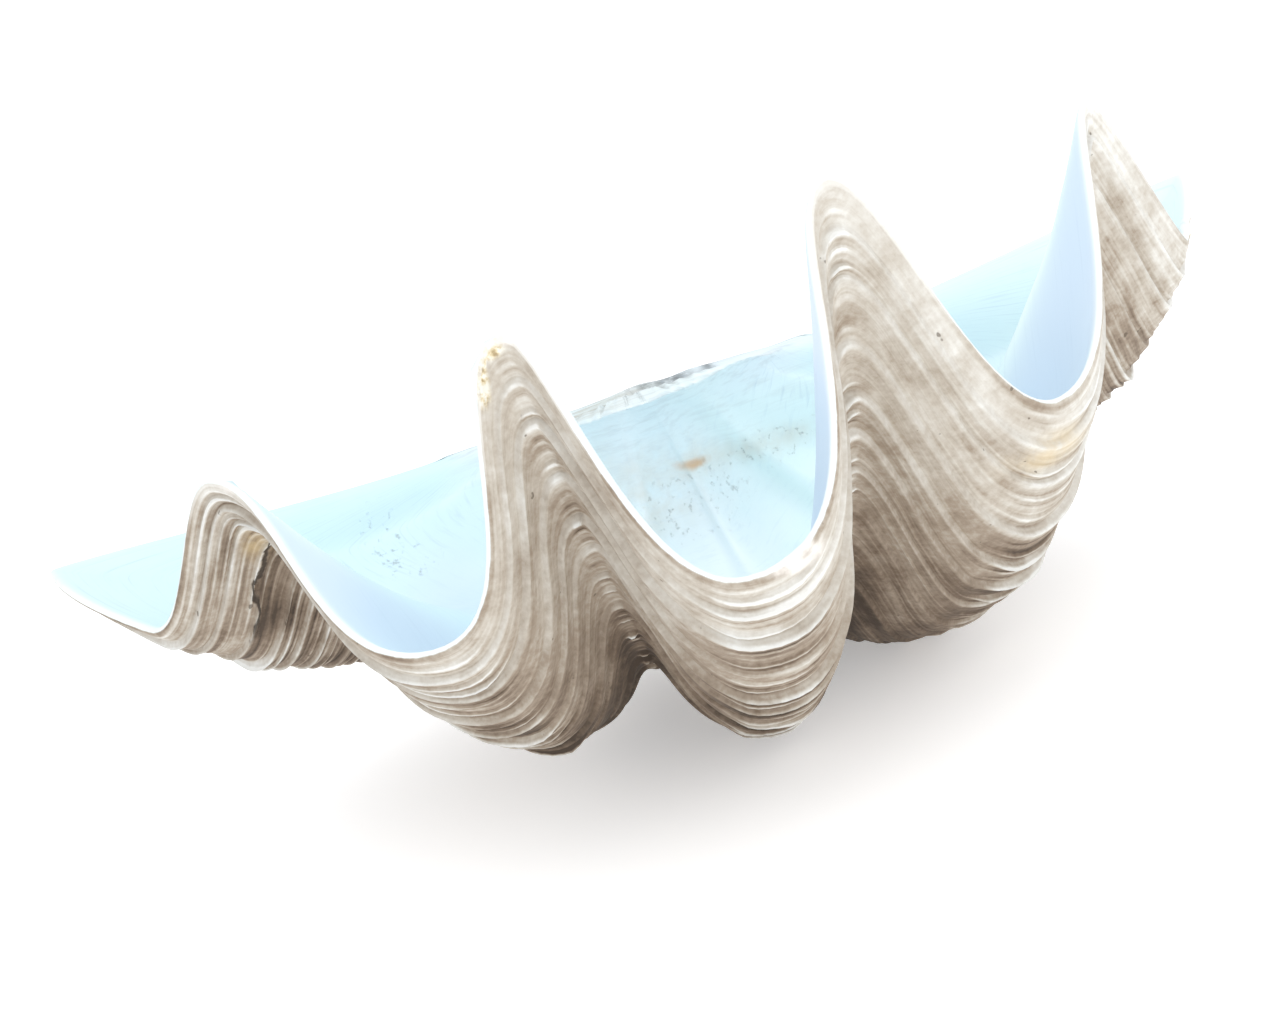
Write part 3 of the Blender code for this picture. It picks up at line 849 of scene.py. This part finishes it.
# %% Put the outside's marks on
YELLOW, SPECK, CRACK_DARK = (0.64, 0.48, 0.24), (0.10, 0.075, 0.05), (0.045, 0.032, 0.022)
LAP_WHITE, CRUST_WHITE = (0.84, 0.83, 0.79), (0.86, 0.82, 0.77)
CRUST_TONES = [(0.36, (0.36, 0.25, 0.10)), (0.46, (0.74, 0.62, 0.38)), (0.56, (0.90, 0.88, 0.78))]
yellow_patch = clam.stored("yellow") * clam.between(mottle, 0.25, 0.6)
outside_colour = clam.mix(yellow_patch * 0.55, outside_colour, YELLOW)
specks = clam.between(clam.noise(place, 150.0, 1.0), 0.765, 0.80) * 0.7
outside_colour = clam.mix(specks, outside_colour, SPECK)
wobble = clam.stored("crack_side") + (clam.noise(place, 120.0, 3.0) - 0.5) * 0.005
off_line = clam.node("ShaderNodeMath", {"operation": "ABSOLUTE"}, {0: wobble})
crack = clam.between(off_line, 0.0019, 0.0006) * clam.stored("crack_left")
outside_colour = clam.mix(crack * 0.92, outside_colour, CRACK_DARK)
crust_colour = clam.ramp(clam.noise(place, 190.0, 3.0, 0.6), CRUST_TONES)
outside_colour = clam.mix(clam.between(clam.stored("crust"), 0.15, 0.6) * 0.85, outside_colour, crust_colour)
lap = clam.between(age, 0.9962, 0.9992) * on_fold * 0.55
outside_colour = clam.mix(lap, outside_colour, LAP_WHITE)
pale_crust = clam.between(clam.stored("pale_crust"), 0.1, 0.6) * clam.between(mottle, 0.35, 0.55, 0.4, 0.9)
outside_colour = clam.mix(pale_crust, outside_colour, CRUST_WHITE)
print("nodes so far:", len(clam.tree.nodes))

# %% [markdown]
# ## The porcelain lining
#
# Inside, the clam laid down hard white porcelain with a cool sheen. It is smooth, so small things
# show: a tan wash with one orange stain below the hinge, a band of pits, lavender spots that are partly
# a muscle scar and partly painted shade, and faint growth lines near the rim. The steep inner faces of
# the folds get painted blue shade. The stain's core is about a centimetre tall, and the mesh's rows are
# nearly as far apart there, so the finish works it out from the point's own place instead.

# %% Tint the lining
BLUE_WHITE, WARM_WHITE, LEFT_BLUE = (0.68, 0.845, 0.885), (0.78, 0.875, 0.905), (0.625, 0.825, 0.875)
RIGHT_GREEN, STEEP_SHADE_BLUE, LAVENDER = (0.76, 0.92, 0.915), (0.62, 0.72, 0.87), (0.63, 0.73, 0.87)
END_FROM, END_TO = 0.26, 0.55
middle = float(ALONG[-1]) / 2.0
lining_colour = clam.mix(clam.between(cloud, 0.36, 0.64), BLUE_WHITE, WARM_WHITE)
left_end = clam.between(along, middle - END_FROM, middle - END_TO)
lining_colour = clam.mix(left_end * 0.8, lining_colour, LEFT_BLUE)
far_right = clam.between(along, middle + END_FROM, middle + END_TO)
lining_colour = clam.mix(far_right * 0.8, lining_colour, RIGHT_GREEN)
# Painted shade: blue-lavender on the steep inner faces of the folds, turned from the light.
steep = flank * clam.between(age, 0.55, 0.80)
lining_colour = clam.mix(steep * 0.75, lining_colour, STEEP_SHADE_BLUE)
# Lavender spots: partly a muscle scar, partly painted shade.
lining_colour = clam.mix(clam.stored("lavender") * 0.6, lining_colour, LAVENDER)
print("nodes so far:", len(clam.tree.nodes))

# %% Stain the lining
TAN, OCHRE, RUST = (0.60, 0.57, 0.47), (0.64, 0.47, 0.28), (0.60, 0.33, 0.12)
PIT_DARK, STRAY_PIT_DARK = (0.33, 0.34, 0.32), (0.36, 0.40, 0.42)
STAIN_PLACE, STAIN_RADII, STAIN_TILT = (0.0290, 0.158, 0.1178), (0.0125, 0.03, 0.0040), 0.25
wash = clam.stored("tan_wash") * clam.between(patches, 0.25, 0.68)
lining_colour = clam.mix(wash * 0.62, lining_colour, TAN)
stain = clam.stored("orange_stain") * clam.between(mottle, 0.25, 0.55)
lining_colour = clam.mix(stain * 0.45, lining_colour, OCHRE)
stain_x = x - STAIN_PLACE[0]
from_stain = clam.place(
    stain_x / STAIN_RADII[0], (y - STAIN_PLACE[1]) / STAIN_RADII[1],
    (z - STAIN_PLACE[2] + stain_x * STAIN_TILT) / STAIN_RADII[2])
from_stain = clam.node("ShaderNodeVectorMath", {"operation": "LENGTH"}, {0: from_stain}, out="Value")
core = clam.between(from_stain + (mottle - 0.5) * 2.4, 1.35, 0.0)
lining_colour = clam.mix(core * 0.95, lining_colour, RUST)
pit_noise = clam.noise(place, 210.0, 4.0, 0.65)
pit = clam.between(pit_noise, 0.58, 0.72) * clam.between(clam.stored("pits"), 0.1, 0.8)
stray_pit = clam.between(pit_noise, 0.70, 0.80)
lining_colour = clam.mix(pit * 0.5, lining_colour, PIT_DARK)
lining_colour = clam.mix(stray_pit * 0.22, lining_colour, STRAY_PIT_DARK)
print("nodes so far:", len(clam.tree.nodes))

# %% Mark the hinge plate and the rim
PLATE_WHITE, PLATE_GREY, HINGE_TAN = (0.82, 0.88, 0.89), (0.42, 0.44, 0.45), (0.43, 0.42, 0.35)
SLIT_DARK, LINE_BLUE, RIM_WHITE = (0.06, 0.065, 0.07), (0.42, 0.54, 0.66), (0.85, 0.88, 0.85)
PLATE_STRETCH, INNER_STRETCH = (14.0, 260.0, 260.0), (150.0, 14.0, 6.0)
plate = clam.stored("plate")
lining_colour = clam.mix(plate * 0.5, lining_colour, PLATE_WHITE)
stretched = clam.node("ShaderNodeVectorMath", {"operation": "MULTIPLY"}, {0: place, 1: PLATE_STRETCH})
plate_lines = clam.noise(stretched, 1.0, 3.0, 0.6)
lining_colour = clam.mix(plate * clam.between(plate_lines, 0.45, 0.70) * 0.26, lining_colour, PLATE_GREY)
hinge_tan = clam.stored("hinge_tan") * clam.between(plate_lines, 0.3, 0.6, 0.2, 0.8)
lining_colour = clam.mix(hinge_tan, lining_colour, HINGE_TAN)
slit = clam.stored("slit") * clam.between(mottle, 0.35, 0.55)
lining_colour = clam.mix(slit * 0.85, lining_colour, SLIT_DARK)
inner_lines = growth_lines(INNER_STRETCH, 3.0, 0.6)
line_strength = 0.14 + clam.stored("tips") * 0.25
lining_colour = clam.mix(clam.between(inner_lines, 0.5, 0.8) * line_strength, lining_colour, LINE_BLUE)
rim_white = clam.stored("rim") * clam.between(mottle, 0.2, 0.5, 0.55, 0.95)
lining_colour = clam.mix(rim_white, lining_colour, RIM_WHITE)
print("nodes so far:", len(clam.tree.nodes))

# %% [markdown]
# ## One material for both faces
#
# The white lining just laps over the rim. A stored number says how far each point is towards the
# lining, and a little noise roughens that border, so the two finishes meet unevenly as they grew.
# Two materials on two sets of faces would meet along a straight edge. The finest growth lines are
# too low to be worth a mesh, so they are a bump.

# %% Join the finishes
CHALK_ROUGHNESS, PORCELAIN_ROUGHNESS, SHINE = 0.80, 0.36, 0.45
BUMP_STRENGTH, BUMP_HEIGHT = 0.55, 0.0016
inner = clam.between(clam.stored("lining") + (mottle - 0.5) * 0.7, 0.20, 0.50)
clam.plug(clam.shader.inputs["Base Color"], clam.mix(inner, outside_colour, lining_colour))
chalk = CHALK_ROUGHNESS + (cloud - 0.5) * 0.2
clam.plug(clam.shader.inputs["Roughness"], chalk + (PORCELAIN_ROUGHNESS + wash * 0.2 - chalk) * inner)
outside_relief = fine_lines * 0.25 + lines * 0.30 + speckle * 0.16 - crack * 1.5
outside_relief = outside_relief + mottle * (0.5 + right_end * 0.8)
lining_relief = 0.5 + inner_lines * 0.06 - pit * 0.8 - stray_pit * 0.2 + plate * plate_lines * 0.4
relief = outside_relief + (lining_relief - outside_relief) * inner
bump = clam.node(
    "ShaderNodeBump", None, {"Height": relief, "Strength": BUMP_STRENGTH, "Distance": BUMP_HEIGHT})
clam.plug(clam.shader.inputs["Normal"], bump)
clam.shader.inputs["Specular IOR Level"].default_value = SHINE
mesh.materials.append(clam.material)
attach(shell, "root")
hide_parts("half_shell")
print("nodes in the finish:", len(clam.tree.nodes))

# %% [markdown]
# ## Floor, light and camera
#
# The shell lies on a plain white floor that runs far back, under an even white sky with two large
# soft lamps, one above and one in front. The floor glows a little, which keeps its shadow pale, and
# white all round keeps the lining bright. The camera looks down on the open side, tilted, as if the
# shell climbed to the right.

# %% Lay the floor
FLOOR_HALF, FLOOR_GLOW = 30.0, 0.35
floor_mesh = bpy.data.meshes.new("floor")
bm = bmesh.new()
bmesh.ops.create_grid(bm, x_segments=1, y_segments=1, size=FLOOR_HALF)
bm.to_mesh(floor_mesh)
bm.free()
floor = bpy.data.objects.new("floor", floor_mesh)
bpy.context.scene.collection.objects.link(floor)
white = Finish("white_floor")
dust = white.noise(white.node("ShaderNodeTexCoord", out="Object"), 3.0, 2.0)
white.plug(white.shader.inputs["Base Color"], white.mix(dust, (0.93, 0.93, 0.93), (0.95, 0.95, 0.95)))
white.shader.inputs["Roughness"].default_value = 0.9
white.shader.inputs["Emission Color"].default_value = (1.0, 1.0, 1.0, 1.0)
white.shader.inputs["Emission Strength"].default_value = FLOOR_GLOW
floor_mesh.materials.append(white.material)
print("floor:", FLOOR_HALF * 2.0, "m wide")

# %% Hang the sky and the lamps
SKY_COLOUR, SKY_STRENGTH, LIT_POINT = (0.965, 0.98, 1.0, 1.0), 1.0, Vector((0, 0, 0.15))
LAMPS = {"lamp_above": ((0.0, -0.3, 2.5), 2.6, 15.0), "lamp_in_front": ((0.8, -2.2, 1.6), 2.0, 13.0)}
world = bpy.data.worlds.new("white_sky")
bpy.context.scene.world = world
world.use_nodes = True
world.node_tree.nodes["Background"].inputs["Color"].default_value = SKY_COLOUR
world.node_tree.nodes["Background"].inputs["Strength"].default_value = SKY_STRENGTH
for name, (location, size, power) in LAMPS.items():
    lamp = bpy.data.lights.new(name, "AREA")
    lamp.shape = "DISK"
    lamp.size = size
    lamp.energy = power
    holder = bpy.data.objects.new(name, lamp)
    holder.location = location
    holder.rotation_euler = (LIT_POINT - Vector(location)).to_track_quat("-Z", "Y").to_euler()
    bpy.context.scene.collection.objects.link(holder)
bpy.context.scene.view_settings.view_transform = "Standard"
print("lamps:", sorted(LAMPS))

# %% Place the camera
AZIMUTH, ELEVATION, ROLL = math.radians(-5.6), math.radians(19.8), math.radians(16.9)
DISTANCE, SENSOR_WIDTH, LENS, NEAREST = 1.189, 36.0, 56.25, 0.05
TARGET = Vector((-0.0333, -0.18, -0.01476)) + Vector(VALVE_PLACE)
level = math.cos(ELEVATION)
away = Vector((math.sin(AZIMUTH) * level, -math.cos(AZIMUTH) * level, math.sin(ELEVATION)))
camera_data = bpy.data.cameras.new("camera")
camera_data.sensor_width = SENSOR_WIDTH
camera_data.lens = LENS
camera_data.clip_start = NEAREST
camera = bpy.data.objects.new("camera", camera_data)
bpy.context.scene.collection.objects.link(camera)
camera.matrix_world = (Matrix.Translation(TARGET + away * DISTANCE)
                       @ (-away).to_track_quat("-Z", "Y").to_matrix().to_4x4()
                       @ Matrix.Rotation(-ROLL, 4, "Z"))
bpy.context.scene.camera = camera
print("camera at:", tuple(round(v, 3) for v in camera.location))

# %% [markdown]
# ## Check the size and hand over
#
# The dressed shell was clipped to the solid's box above; this prints that box.

# %% Print the solid's box
print("solid:", [tuple(round(v, 4) for v in c) for c in SOLID_BOX])
